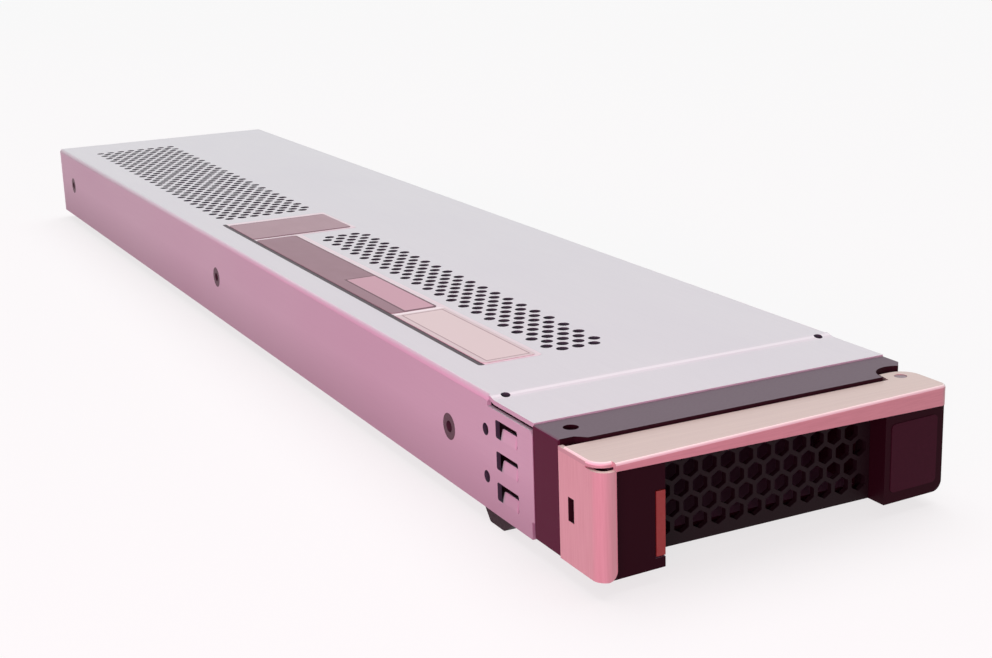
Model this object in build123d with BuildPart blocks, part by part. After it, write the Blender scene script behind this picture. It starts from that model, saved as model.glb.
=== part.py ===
from build123d import *
import math
import os

os.makedirs("parts", exist_ok=True)

# Millimetres. X runs across the case, Y from its front to its rear and Z up from the gasket's underside.
# Lengths along the case are counted from the cover's front edge, and heights from the case's underside.

# Case
case_width = 82.0
case_height = 23.8
case_length = 390.0
cover_sheet = 0.9
cover_bend = 1.6
pan_sheet = 1.0
pan_bend = 1.8
slip = 0.1  # between faces that slide or lie together
clear = 0.3  # between faces that pass each other
overshoot = 1.0  # by which a cut runs past what it cuts

# Cover: the joggled front strip, its slits and the lanced windows
strip_length = 16.8
strip_drop = 0.5
strip_inset = 0.4
joggle_run = 1.6
slit_height = 0.7
wall_mouth = 0.9
wall_notch = (0.9, 3.6)
relief_hole = 1.9
relief_inset = 3.5
relief_place = 17.3
window_length = 9.0
window_height = 3.7
window_pitch = 6.4
window_place = (6.1, 5.2)
window_count = 3
tab_length = 5.2
tab_place = 2.0
tab_rise = 2.5
tab_lean = 1.0
pilot_hole = 2.5
pilot_place = 19.5
pilot_heights = (6.8, 16.6)

# Vent fields of the cover: staggered round holes, placed from the left wall and the front edge
vent_hole = 2.7
vent_pitch = 3.89
vent_inset = 37.69
vent_front = 38.6
vent_lines = 41
vent_long_line = 4
rear_vent_front = 216.0
rear_vent_lines = 46
rear_vent_long_line = 8

# Countersunk screws of the walls
screw_height = 12.2
screw_front = 36.5
screw_middle = 192.7
screw_rear_margin = 18.6
screw_shank = 3.0
screw_head = 5.6
screw_length = 5.0
screw_socket = 2.5
screw_socket_depth = 1.2
screw_boss = 5.6
screw_boss_length = 4.6

# Pan
pan_front = 0.4
pan_rear_inset = 0.5
flange_front = 26.0
flange_gap = 2.5

# Gasket under the pan
gasket_drop = 2.8
gasket_place = 9.1
gasket_length = 12.9
gasket_flat = (4.5, 10.4)
gasket_round = 0.9
gasket_inset = 0.4  # from the case's side

# Front carrier
front_reach = 24.2  # from the cover's front edge to the lever's front, at the left wall
front_reach_right = 20.0  # the same at the right wall: the front slants
carrier_depth = 11.3
carrier_drop = 0.3  # from the cover's strip to the carrier's top
carrier_inset = 0.1
carrier_bottom = 0.3
carrier_round = 0.6
carrier_wall = 2.0
relief_depth = 1.8
relief_span = (3.5, 5.5)
corner_cut = (6.0, 7.0)
tongue_length = 20.0
tongue_inset = 2.6
tongue_wall = 1.6
left_block_short = 0.9  # how much narrower the left block is
block_width = 15.6  # from the case's side to the grille's recess
block_bottom = 0.0
left_block_inset = 2.6
right_block_inset = 0.6
block_round = 2.2
pocket_depth = 8.0
pocket_width = 6.0
marker_hole = 3.0
marker_place = (5.5, -4.8)
marker_depth = 4.0

# Grille
grille_rim = 0.5
grille_plate = 1.2
grille_reach = 3.7
grille_bottom = 0.1
hex_pitch = 4.1
hex_flats = 3.2
hex_shift = 0.2
hex_rows = 5
hex_first_row = 3.95

# Lever
lever_sheet = 1.0
lever_drop = 1.5
lever_bottom = 0.4
lever_gap = 0.3
wrap_rear = 9.8
wrap_corner = 2.6
wrap_front = 3.6
wrap_round = 2.0
wrap_drop = 0.3  # from the flange's top to the wrap's
crescent_gap = 0.4  # between the flange's rounded corner and the wrap under it
crescent_run = 4.8
lip_height = 1.4  # at the left wall
lip_height_right = 4.2  # at the right wall: the lip widens
lip_return = 4.0  # how far the lip runs back round the right corner
lip_gap = 0.25
flange_corner = 3.2
lever_edge_round = 0.7
lever_end_inset = 0.6
lever_end_round = 2.0
slot_place = (13.1, 8.8)
slot_size = (2.1, 4.6)
pivot_inset = 5.0
pivot_place = 10.9
ear_radius = 3.6
ear_step = 0.8
ear_end_round = 4.4
ear_room = 1.2
pin_radius = 1.25
pin_gap = 0.05
pin_depth = 7.5

# Release latch
tab_width = 1.9
tab_heights = (2.3, 14.7)
tab_reach = 5.3
tab_skin = 1.2
latch_arm = 1.5
latch_bar = 2.2
latch_bar_height = 3.9
latch_stub = 1.4
latch_stub_drop = 3.4
latch_stub_inset = 2.4
latch_travel = 1.8
spring_solid = 1.6  # length left for the spring at the end of the travel
spring_leaf = 0.25
spring_turns = 4
spring_height = 3.0

# Carrier screws, from below
carrier_screw_inset = 11.0
carrier_screw_place = 4.4
carrier_screw_shank = 2.4
carrier_screw_head = 4.4
carrier_screw_length = 5.0
carrier_screw_socket = 1.9
carrier_screw_socket_depth = 0.9
carrier_boss = 5.2

# Boards
board_sheet = 1.6
board_side_gap = 3.6
board_front = 28.0
board_rear_margin = 8.0
standoff_height = 3.0
standoff_across = 5.0
standoff_bore = 2.4
board_screw_shank = 2.2
board_screw_head = 4.4
board_screw_head_height = 1.4
board_screw_length = 3.6
board_hole_margin = 4.0
board_hole_middle = 16.0  # behind the memory board
board_hole_rear = 36.0
memory_front = 40.0
controller_zone = 173.5  # kept behind the memory board
memory_side_gap = 5.0
spacer_height = 7.0
link_length = 40.0
link_width = 5.5
link_round = 1.1
link_margin = 12.0

# Parts on the boards
chip_width = 12.0
chip_length = 18.0
chip_height = 1.2
chip_side_gap = 3.0
chip_end_gap = 3.5
controller_size = 27.0
controller_height = 2.6
controller_first = 43.8  # behind the memory board
controller_pitch = 43.8
sink_margin = 4.0
sink_gap = 2.6
sink_base = 2.0
sink_height = 11.0
sink_fins = 9
sink_fin = 0.9
coil_side = 7.0
coil_height = 4.2
coil_inset = 10.5
power_pitch = 10.0
power_pairs = 2
can_radius = 3.2
can_height = 6.5

# Rear connector
connector_width = 44.0
connector_height = 9.6
connector_depth = 17.0
connector_slot = (40.0, 1.6)
connector_slot_depth = 6.0
connector_slot_pitch = 4.2

# Labels
label_sheet = 0.2
label_inset = 8.7  # from the cover's left wall
label_front_place = (37.5, 46.5)
label_front_width = 12.5
label_middle_place = (85.0, 95.6)
label_middle_width = 11.8
label_rear_place = (182.6, 22.6)
label_rear_width = 29.6
label_round = 1.0
plate_sheet = 0.15
plate_margin = (1.6, 2.2)

# Places worked out from the sizes above
front_y = -(case_length + front_reach) / 2
edge_y = front_y + front_reach
rear_y = edge_y + case_length
floor_z = gasket_drop
top_z = floor_z + case_height
side_x = case_width / 2
pan_side = side_x - cover_sheet - slip
pan_top = floor_z + pan_sheet
strip_z = top_z - strip_drop
under_strip = strip_z - cover_sheet
lever_z = top_z - lever_drop
lever_under = lever_z - lever_sheet
lip_bottom = lever_z - lip_height_right
front_slope = (front_reach - front_reach_right) / case_width
block_inset = lever_sheet + clear  # from the lever's front to the blocks'
carrier_top = strip_z - carrier_drop
block_half = side_x - block_width
carrier_front = edge_y - carrier_depth
relief_y = carrier_front + relief_depth
pivot = (side_x - pivot_inset, edge_y - pivot_place)
hex_row_pitch = hex_pitch * math.sqrt(3) / 2


def across(y):
    # Upright plane across the case, seen from its front
    return Plane.XZ.offset(-y)


def level(z):
    return Plane.XY.offset(z)


def aside(x):
    # Upright plane along the case: the sketch's X is the case's Y
    return Plane.YZ.offset(x)


def behind(distance):
    return edge_y + distance


def above(height):
    return floor_z + height


def area(first, last, mode=Mode.ADD):
    # Rectangle between two corners of the sketch
    with Locations(((first[0] + last[0]) / 2, (first[1] + last[1]) / 2)):
        Rectangle(abs(last[0] - first[0]), abs(last[1] - first[1]), mode=mode)


def outward(side, y, z, x=side_x):
    # Location on a long wall, pointing out of the case
    return Location(Plane(origin=(side * x, y, z), x_dir=(0, side, 0), z_dir=(side, 0, 0)))


def front_at(x):
    # Where the slanting front lies at that place across the case
    return front_y + (side_x + x) * front_slope


def along_front(inset):
    # Upright plane along the slanting front: the sketch's X starts at the left wall
    return Plane(
        origin=(-side_x, front_y + inset, 0),
        x_dir=(1, front_slope, 0),
        z_dir=(front_slope, -1, 0),
    )


def finish(builder, label):
    builder.part.label = label
    export_step(builder.part, f"parts/{label}.step")


screw_places = [behind(d) for d in (screw_front, screw_middle, case_length - screw_rear_margin)]
wall_screws = [(side, y) for side in (-1, 1) for y in screw_places]


# Top cover: folded channel, joggled strip in front, windows with lanced tabs, vents
joggle_y = behind(strip_length)
joggle_end = joggle_y + joggle_run
strip_half = side_x - strip_inset
wall_top = under_strip - slit_height

with BuildPart() as top_cover:
    with BuildSketch(across(joggle_end)):
        with Locations((0, floor_z)):
            RectangleRounded(case_width, 2 * case_height, cover_bend)
            RectangleRounded(
                case_width - 2 * cover_sheet,
                2 * (case_height - cover_sheet),
                cover_bend - cover_sheet,
                mode=Mode.SUBTRACT,
            )
        area((-side_x, floor_z - case_height), (side_x, floor_z), mode=Mode.SUBTRACT)
    extrude(amount=joggle_end - rear_y)

    with BuildSketch(aside(-strip_half)):
        with BuildLine():
            Polyline(
                (edge_y, under_strip),
                (joggle_y, under_strip),
                (joggle_end, top_z - cover_sheet),
                (joggle_end, top_z),
                (joggle_y, strip_z),
                (edge_y, strip_z),
                close=True,
            )
        make_face()
    extrude(amount=2 * strip_half)

    for wall_x in (-side_x, side_x - cover_sheet):
        with BuildSketch(aside(wall_x)):
            with BuildLine():
                Polyline(
                    (edge_y + wall_notch[0], floor_z),
                    (joggle_end, floor_z),
                    (joggle_end, wall_top),
                    (edge_y + wall_mouth, wall_top),
                    (edge_y, wall_top - wall_mouth),
                    (edge_y, above(wall_notch[1])),
                    (edge_y + wall_notch[0], above(wall_notch[1])),
                    close=True,
                )
            make_face()
        extrude(amount=cover_sheet)

    with BuildSketch(aside(-side_x)):
        for row in range(window_count):
            start_y = behind(window_place[0])
            start_z = above(window_place[1] - window_height / 2 + row * window_pitch)
            area((start_y, start_z), (start_y + window_length, start_z + window_height))
        with Locations(*[(behind(pilot_place), above(height)) for height in pilot_heights]):
            Circle(pilot_hole / 2)
    extrude(amount=cover_sheet, mode=Mode.SUBTRACT)

    for row in range(window_count):
        foot_z = above(window_place[1] - window_height / 2 + row * window_pitch)
        inner_x = cover_sheet - side_x
        with BuildSketch(across(behind(window_place[0] + tab_place))):
            with BuildLine():
                Polyline(
                    (-side_x, foot_z),
                    (inner_x, foot_z),
                    (inner_x + tab_lean, foot_z + tab_rise),
                    (tab_lean - side_x, foot_z + tab_rise),
                    close=True,
                )
            make_face()
        extrude(amount=-tab_length)

    with Locations(*[outward(side, y, above(screw_height)) for side, y in wall_screws]):
        CounterSinkHole(
            screw_shank / 2 + clear,
            screw_head / 2 + slip,
            depth=2 * cover_sheet,
            counter_sink_angle=90,
        )

    vent_line = vent_pitch * math.sqrt(3) / 2
    vents = []
    for start, lines, long_line in (
        (vent_front, vent_lines, vent_long_line),
        (rear_vent_front, rear_vent_lines, rear_vent_long_line),
    ):
        for line in range(lines):
            short = 1 - line % 2
            for hole in range(long_line - short):
                x = vent_inset - side_x - (hole + short / 2) * vent_pitch
                vents.append((x, behind(start + line * vent_line)))
    with BuildSketch(level(top_z - cover_sheet)):
        with Locations(*vents):
            Circle(vent_hole / 2)
    extrude(amount=cover_sheet, mode=Mode.SUBTRACT)
    with BuildSketch(level(under_strip)):
        with Locations(*[(side * (side_x - relief_inset), behind(relief_place)) for side in (-1, 1)]):
            Circle(relief_hole / 2)
    extrude(amount=case_height, mode=Mode.SUBTRACT)
finish(top_cover, "top_cover")


# Base pan: bottom with two side flanges, screw bosses and a rear wall round the connector
flange_top = top_z - cover_sheet - flange_gap
pan_rear = rear_y - pan_rear_inset
board_z = pan_top + standoff_height
board_top = board_z + board_sheet
carrier_screw_x = side_x - carrier_screw_inset
carrier_screws_at = [(side * carrier_screw_x, behind(carrier_screw_place)) for side in (-1, 1)]

with BuildPart() as base_pan:
    with BuildSketch(across(behind(flange_front))):
        with Locations((0, flange_top)):
            flange_height = flange_top - floor_z
            RectangleRounded(2 * pan_side, 2 * flange_height, pan_bend)
            RectangleRounded(
                2 * (pan_side - pan_sheet),
                2 * (flange_height - pan_sheet),
                pan_bend - pan_sheet,
                mode=Mode.SUBTRACT,
            )
        area((-pan_side, flange_top), (pan_side, flange_top + case_height), mode=Mode.SUBTRACT)
    extrude(amount=behind(flange_front) - pan_rear)
    with BuildSketch(level(floor_z)):
        area((-pan_side + pan_bend, behind(pan_front)), (pan_side - pan_bend, behind(flange_front)))
    extrude(amount=pan_sheet)
    with BuildSketch(across(pan_rear - pan_sheet)):
        area((-pan_side + pan_bend, floor_z), (pan_side - pan_bend, top_z - cover_sheet - slip))
        area(
            (-connector_width / 2 - clear, board_top - clear),
            (connector_width / 2 + clear, board_top + connector_height + clear),
            mode=Mode.SUBTRACT,
        )
    extrude(amount=-pan_sheet)
    with Locations(*[outward(side, y, above(screw_height), pan_side) for side, y in wall_screws]):
        Cylinder(screw_boss / 2, screw_boss_length, align=(Align.CENTER, Align.CENTER, Align.MAX))
        CounterSinkHole(
            screw_shank / 2 + slip,
            screw_head / 2 + 2 * slip - cover_sheet,
            depth=2 * screw_boss_length,
            counter_sink_angle=90,
        )
    with Locations(*[Location((x, y, floor_z), (180, 0, 0)) for x, y in carrier_screws_at]):
        CounterSinkHole(
            carrier_screw_shank / 2 + slip,
            carrier_screw_head / 2 + slip,
            depth=2 * pan_sheet,
            counter_sink_angle=90,
        )
finish(base_pan, "base_pan")


# Gasket: strip of trapezoid section across the pan's underside
with BuildPart() as bottom_gasket:
    gasket_side = side_x - gasket_inset
    gasket_y = behind(gasket_place)
    with BuildSketch(aside(-gasket_side)) as gasket_section:
        with BuildLine():
            Polyline(
                (gasket_y, floor_z),
                (gasket_y + gasket_flat[0], 0),
                (gasket_y + gasket_flat[1], 0),
                (gasket_y + gasket_length, floor_z),
                close=True,
            )
        make_face()
        fillet(gasket_section.vertices().group_by(Axis.Y)[0], gasket_round)
    extrude(amount=2 * gasket_side)
finish(bottom_gasket, "bottom_gasket")


# Countersunk screws
def countersunk_screw(shank, head, length, socket, depth):
    cone = (head - shank) / 2
    top = (Align.CENTER, Align.CENTER, Align.MAX)
    Cylinder(shank / 2, length, align=top)
    Cone(shank / 2, head / 2, cone, align=top)
    Cylinder(socket / 2, depth, align=top, mode=Mode.SUBTRACT)


with BuildPart() as cover_screws:
    with Locations(*[outward(side, y, above(screw_height)) for side, y in wall_screws]):
        countersunk_screw(screw_shank, screw_head, screw_length, screw_socket, screw_socket_depth)
finish(cover_screws, "cover_screws")

with BuildPart() as carrier_screws:
    with Locations(*[Location((x, y, floor_z), (180, 0, 0)) for x, y in carrier_screws_at]):
        countersunk_screw(
            carrier_screw_shank, carrier_screw_head, carrier_screw_length,
            carrier_screw_socket, carrier_screw_socket_depth,
        )
finish(carrier_screws, "carrier_screws")


# Front carrier: collar in front of the case, tongue inside it, a block at each side of the grille
carrier_side = side_x - carrier_inset
collar_rear = edge_y - slip
left_block = (-side_x + left_block_inset, -block_half - left_block_short)
right_block = (block_half, side_x - right_block_inset)
left_block_top = lever_under - clear
right_block_top = lip_bottom - clear
tongue_side = side_x - tongue_inset
tongue_bottom = pan_top + slip / 2
tongue_top = under_strip - slip
grille_half = block_half - slip
grille_top = lever_under - clear
opening_half = grille_half - grille_rim - slip
bar_z = above(slot_place[1] + (slot_size[1] - latch_bar_height) / 2)
bar_y = edge_y - slot_place[0] - (slot_size[0] + latch_bar) / 2
arm_x = left_block[1] - tab_width
stub_x = left_block[0] + latch_stub_inset
spring_room = latch_travel + spring_solid
spring_x = (stub_x + latch_stub, stub_x + latch_stub + spring_room)
tab_z = (above(tab_heights[0]), above(tab_heights[1]))
tab_front = front_at(left_block[1]) + block_inset


with BuildPart() as front_carrier:
    with BuildSketch(across(collar_rear)):
        collar_middle = (above(carrier_bottom) + carrier_top) / 2
        with Locations((0, collar_middle)):
            RectangleRounded(2 * carrier_side, carrier_top - above(carrier_bottom), carrier_round)
    extrude(amount=collar_rear - carrier_front)
    # The left end steps back to make room for the lever's wrap
    with BuildSketch(level(above(carrier_bottom))):
        with BuildLine():
            Polyline(
                (-side_x - overshoot, carrier_front - overshoot),
                (-side_x + relief_span[1] + overshoot, carrier_front - overshoot),
                (-side_x + relief_span[1], carrier_front),
                (-side_x + relief_span[0], relief_y),
                (-side_x - overshoot, relief_y),
                close=True,
            )
        make_face()
    extrude(amount=case_height, mode=Mode.SUBTRACT)
    with BuildSketch(across(relief_y)):
        area((left_block[0], above(block_bottom)), (left_block[1], left_block_top))
    extrude(amount=relief_y - front_y)
    with BuildSketch(across(carrier_front)) as right_outline:
        area((right_block[0], above(block_bottom)), (right_block[1], right_block_top))
        fillet(right_outline.vertices().group_by(Axis.X)[-1].sort_by(Axis.Y)[0], block_round)
    extrude(amount=carrier_front - front_y)
    # Both blocks end along the slanting front
    with BuildSketch(along_front(block_inset)):
        area((0, above(block_bottom) - overshoot), (case_width + overshoot, top_z))
    extrude(amount=front_reach, mode=Mode.SUBTRACT)
    with BuildSketch(across(collar_rear)):
        area((-tongue_side, tongue_bottom), (tongue_side, tongue_top))
        area(
            (-tongue_side + tongue_wall, tongue_bottom + tongue_wall),
            (tongue_side - tongue_wall, tongue_top - tongue_wall),
            mode=Mode.SUBTRACT,
        )
    extrude(amount=collar_rear - behind(tongue_length))
    # Air way behind the grille, and lightening pockets behind the blocks
    with BuildSketch(across(collar_rear)):
        area((-opening_half, above(carrier_wall)), (opening_half, carrier_top - carrier_wall))
    extrude(amount=carrier_depth, mode=Mode.SUBTRACT)
    with BuildSketch(across(collar_rear)):
        for side in (-1, 1):
            near = side * (block_half + carrier_wall)
            far = near + side * pocket_width
            area((near, above(2 * carrier_wall)), (far, carrier_top - 2 * carrier_wall))
    extrude(amount=pocket_depth, mode=Mode.SUBTRACT)
    # Right front corner cut away, and a round pocket for the lever's ear
    corner_slope = corner_cut[1] / corner_cut[0]
    with BuildSketch(level(right_block_top)):
        with BuildLine():
            Polyline(
                (side_x + overshoot, carrier_front + corner_cut[1] + overshoot * corner_slope),
                (side_x - corner_cut[0], carrier_front),
                (side_x + overshoot, carrier_front),
                close=True,
            )
        make_face()
    extrude(amount=case_height, mode=Mode.SUBTRACT)
    with BuildSketch(level(lever_under - clear)):
        with Locations(pivot):
            Circle(ear_radius + ear_room)
    extrude(amount=case_height, mode=Mode.SUBTRACT)
    with BuildSketch(level(right_block_top - carrier_wall)):
        with Locations(pivot):
            Circle(ear_radius)
    extrude(amount=lever_under - clear - right_block_top + carrier_wall)
    with Locations((pivot[0], pivot[1], lever_under - clear)):
        Hole(pin_radius + pin_gap, depth=pin_depth)
    with Locations((-side_x + marker_place[0], behind(marker_place[1]), carrier_top)):
        Hole(marker_hole / 2, depth=marker_depth)
    # Ways for the latch: finger tab in front, arm behind it, bar, and spring pocket open below
    tab_room = (tab_z[0] - clear, tab_z[1] + clear)
    with BuildSketch(across(tab_front - overshoot)):
        area((arm_x - clear, tab_room[0]), (left_block[1], tab_room[1]))
    extrude(amount=-tab_skin - overshoot, mode=Mode.SUBTRACT)
    with BuildSketch(across(tab_front + tab_skin)):
        area((arm_x - latch_arm - clear, tab_room[0]), (left_block[1], tab_room[1]))
    extrude(amount=tab_front + tab_skin - bar_y - latch_bar - clear, mode=Mode.SUBTRACT)
    with BuildSketch(across(bar_y - clear)):
        area((left_block[0], bar_z - clear), (arm_x - latch_arm, bar_z + latch_bar_height + clear))
        area((stub_x - clear, above(block_bottom)), (spring_x[1], bar_z))
    extrude(amount=-latch_bar - 2 * clear, mode=Mode.SUBTRACT)
    # Bosses on the tongue's floor for the screws from below
    with Locations(*[(x, y, tongue_bottom) for x, y in carrier_screws_at]):
        low = (Align.CENTER, Align.CENTER, Align.MIN)
        Cylinder(carrier_boss / 2, carrier_screw_length, align=low)
        Cylinder(carrier_screw_shank / 2 + slip, carrier_screw_length, align=low, mode=Mode.SUBTRACT)
finish(front_carrier, "front_carrier")


# Grille: honeycomb plate with a rim that seats on the collar
with BuildPart() as grille_panel:
    rim_z = (above(grille_bottom), grille_top)
    plate_y = carrier_front - grille_reach
    with BuildSketch(across(carrier_front)):
        area((-grille_half, rim_z[0]), (grille_half, rim_z[1]))
    extrude(amount=grille_reach)
    inner = grille_half - grille_rim
    hex_long_row = int((2 * (inner - hex_shift) - hex_flats) // hex_pitch) + 1
    with BuildSketch(across(carrier_front)):
        area((-inner, rim_z[0] + grille_rim), (inner, rim_z[1] - grille_rim))
    extrude(amount=grille_reach - grille_plate, mode=Mode.SUBTRACT)
    with BuildSketch(across(plate_y)):
        for row in range(hex_rows):
            count = hex_long_row - row % 2
            row_z = above(hex_first_row + row * hex_row_pitch)
            starts = hex_shift - (count - 1) * hex_pitch / 2
            with Locations(*[(starts + i * hex_pitch, row_z) for i in range(count)]):
                RegularPolygon(hex_flats / 2, 6, major_radius=False, rotation=30)
    extrude(amount=-grille_plate, mode=Mode.SUBTRACT)
finish(grille_panel, "grille_panel")


# Lever: one folded sheet, flange on top, wrap round the left corner, lip along the front
flange_rear = carrier_front - lever_gap
lever_end = side_x - lever_end_inset
lip_start = -side_x + wrap_front
corner_inset = lever_sheet + lip_gap

with BuildPart() as lever:
    with BuildSketch(level(lever_under)) as flange_plan:
        ear_left = pivot[0] - ear_radius
        ear_rear = pivot[1] + ear_radius
        with BuildLine():
            Polyline(
                (-side_x, flange_rear),
                (ear_left, flange_rear),
                (ear_left + ear_step, ear_rear),
                (lever_end, ear_rear),
                (lever_end, front_at(lever_end)),
                (lip_start, front_at(lip_start)),
                (lip_start, front_at(lip_start) + corner_inset),
                (-side_x, front_at(-side_x) + corner_inset),
                close=True,
            )
        make_face()
        for place, radius in (
            ((lever_end, ear_rear), ear_end_round),
            ((lever_end, front_at(lever_end)), lever_end_round),
            ((-side_x, front_at(-side_x) + corner_inset), flange_corner),
        ):
            fillet(flange_plan.vertices().sort_by_distance(place)[0], radius)
        with Locations(pivot):
            Circle(pin_radius + pin_gap, mode=Mode.SUBTRACT)
    extrude(amount=lever_sheet)
    left_fold = (-side_x, (flange_rear + front_y) / 2, lever_z)
    fillet(lever.edges().sort_by_distance(left_fold)[0], lever_edge_round)
    # Lip: runs round the flange's right corner and widens to the right
    half = lever_sheet / 2
    with BuildSketch(level(lip_bottom)):
        with BuildLine():
            FilletPolyline(
                (lip_start, front_at(lip_start) + half),
                (lever_end - half, front_at(lever_end) + half),
                (lever_end - half, front_at(lever_end) + lip_return),
                radius=lever_end_round - half,
            )
        trace(line_width=lever_sheet)
    extrude(amount=lever_under - lip_bottom)
    with BuildSketch(along_front(-overshoot)):
        with BuildLine():
            Polyline(
                (0, lip_bottom - overshoot),
                (0, lever_z - lip_height),
                (side_x + lever_end, lip_bottom),
                (side_x + lever_end, lip_bottom - overshoot),
                close=True,
            )
        make_face()
    extrude(amount=-lip_return - 2 * overshoot, mode=Mode.SUBTRACT)
    fillet(lever.edges().sort_by_distance((0, front_at(0), lever_z))[0], lever_edge_round)
    # Wrap: side wall, rounded corner and the strip in front
    with BuildSketch(level(above(lever_bottom))):
        with BuildLine():
            FilletPolyline(
                (-side_x + half, edge_y - wrap_rear),
                (-side_x + half, front_at(-side_x) + half),
                (lip_start, front_at(lip_start) + half),
                radius=wrap_corner - half,
            )
        trace(line_width=lever_sheet)
    crescent_z = lever_under - crescent_gap
    extrude(amount=crescent_z - above(lever_bottom))
    strip_end = lever.edges().group_by(Axis.Z)[0].sort_by(Axis.X)[-1]
    fillet(strip_end, wrap_round)
    with BuildSketch(level(crescent_z)):
        area((-side_x, front_y + crescent_run), (-side_x + lever_sheet, edge_y - wrap_rear))
    extrude(amount=lever_z - wrap_drop - crescent_z)
    with BuildSketch(aside(-side_x)):
        slot_y = edge_y - slot_place[0]
        slot_z = above(slot_place[1])
        area((slot_y - slot_size[0], slot_z), (slot_y, slot_z + slot_size[1]))
    extrude(amount=lever_sheet, mode=Mode.SUBTRACT)
finish(lever, "lever")


# Pivot pin, fixed in the carrier
with BuildPart() as pivot_pin:
    with Locations((pivot[0], pivot[1], lever_z - slip)):
        pin_length = lever_sheet - slip + clear + pin_depth
        Cylinder(pin_radius, pin_length, align=(Align.CENTER, Align.CENTER, Align.MAX))
finish(pivot_pin, "pivot_pin")


# Release latch: finger tab, arm, bar with its tooth at the left end, stub for the spring
with BuildPart() as release_latch:
    tooth_x = -side_x + lever_sheet + clear
    bar_rear = bar_y + latch_bar
    with BuildSketch(across(tab_front)):
        area((arm_x, tab_z[0]), (left_block[1], tab_z[1]))
    extrude(amount=-tab_reach)
    with BuildSketch(across(tab_front + tab_skin + clear)):
        area((arm_x - latch_arm, tab_z[0]), (arm_x, tab_z[1]))
    extrude(amount=tab_front + tab_skin + clear - bar_rear)
    with BuildSketch(across(bar_y)):
        area((tooth_x, bar_z), (arm_x - latch_arm, bar_z + latch_bar_height))
        area((stub_x, bar_z - latch_stub_drop), (stub_x + latch_stub, bar_z))
    extrude(amount=-latch_bar)
    tooth = release_latch.edges().filter_by(Axis.Z).group_by(Axis.X)[0]
    chamfer(tooth, latch_bar / 4)
finish(release_latch, "release_latch")


# Latch spring: folded leaf between the stub and the pocket's end
with BuildPart() as latch_spring:
    leaf_width = latch_bar - 2 * slip
    with BuildSketch(across(bar_y + slip)):
        with BuildLine():
            step = (spring_room - 2 * slip - spring_leaf) / spring_turns
            low_z = bar_z - latch_stub_drop + slip
            folds = []
            for turn in range(spring_turns + 1):
                fold_x = spring_x[0] + slip + spring_leaf / 2 + turn * step
                ends = (low_z, low_z + spring_height)
                folds += [(fold_x, ends[turn % 2]), (fold_x, ends[1 - turn % 2])]
            FilletPolyline(*folds, radius=step * 0.45)
        trace(line_width=spring_leaf)
    extrude(amount=-leaf_width)
finish(latch_spring, "latch_spring")


# Boards and what holds them
board_half = pan_side - pan_sheet - board_side_gap
board_y = (behind(board_front), pan_rear - board_rear_margin)
memory_half = board_half - memory_side_gap
memory_y = (behind(memory_front), pan_rear - controller_zone)
memory_z = board_top + spacer_height
memory_top = memory_z + board_sheet
main_holes_y = (
    board_y[0] + board_hole_margin,
    memory_y[1] + board_hole_middle,
    board_y[1] - board_hole_rear,
)
main_holes = [(side * (board_half - board_hole_margin), y) for side in (-1, 1) for y in main_holes_y]
memory_holes_y = (memory_y[0] + board_hole_margin, sum(memory_y) / 2, memory_y[1] - board_hole_margin)
memory_holes_x = memory_half - board_hole_margin
memory_holes = [(side * memory_holes_x, y) for side in (-1, 1) for y in memory_holes_y]


def board(half, ends, z, holes):
    with BuildSketch(level(z)) as outline:
        area((-half, ends[0]), (half, ends[1]))
        with Locations(*holes):
            Circle(board_screw_shank / 2 + slip, mode=Mode.SUBTRACT)
    extrude(outline.sketch, amount=board_sheet)


def posts(places, z, height):
    with BuildSketch(level(z)) as sections:
        with Locations(*places):
            RegularPolygon(standoff_across / 2, 6, major_radius=False)
            Circle(standoff_bore / 2, mode=Mode.SUBTRACT)
    extrude(sections.sketch, amount=height)


def pan_head_screws(places, z):
    up = (Align.CENTER, Align.CENTER, Align.MIN)
    down = (Align.CENTER, Align.CENTER, Align.MAX)
    with Locations(*[(x, y, z) for x, y in places]):
        Cylinder(board_screw_head / 2, board_screw_head_height, align=up)
        Cylinder(board_screw_shank / 2, board_screw_length, align=down)


with BuildPart() as main_board:
    board(board_half, board_y, board_z, main_holes)
finish(main_board, "main_board")

with BuildPart() as board_standoffs:
    posts(main_holes, pan_top, standoff_height)
finish(board_standoffs, "board_standoffs")

with BuildPart() as board_screws:
    pan_head_screws(main_holes, board_top)
finish(board_screws, "board_screws")

with BuildPart() as memory_board:
    board(memory_half, memory_y, memory_z, memory_holes)
finish(memory_board, "memory_board")

with BuildPart() as memory_spacers:
    posts(memory_holes, board_top, spacer_height)
finish(memory_spacers, "memory_spacers")

with BuildPart() as memory_screws:
    pan_head_screws(memory_holes, memory_top)
finish(memory_screws, "memory_screws")

link_places = [(0, memory_y[0] + link_margin), (0, memory_y[1] - link_margin)]
with BuildPart() as board_links:
    with BuildSketch(level(board_top)):
        with Locations(*link_places):
            RectangleRounded(link_length, link_width, link_round)
    extrude(amount=spacer_height)
finish(board_links, "board_links")


# Chips, heat sinks and power parts
def chips(places, z, size, height):
    with BuildSketch(level(z)) as outlines:
        with Locations(*places):
            Rectangle(*size)
    extrude(outlines.sketch, amount=height)


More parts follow.
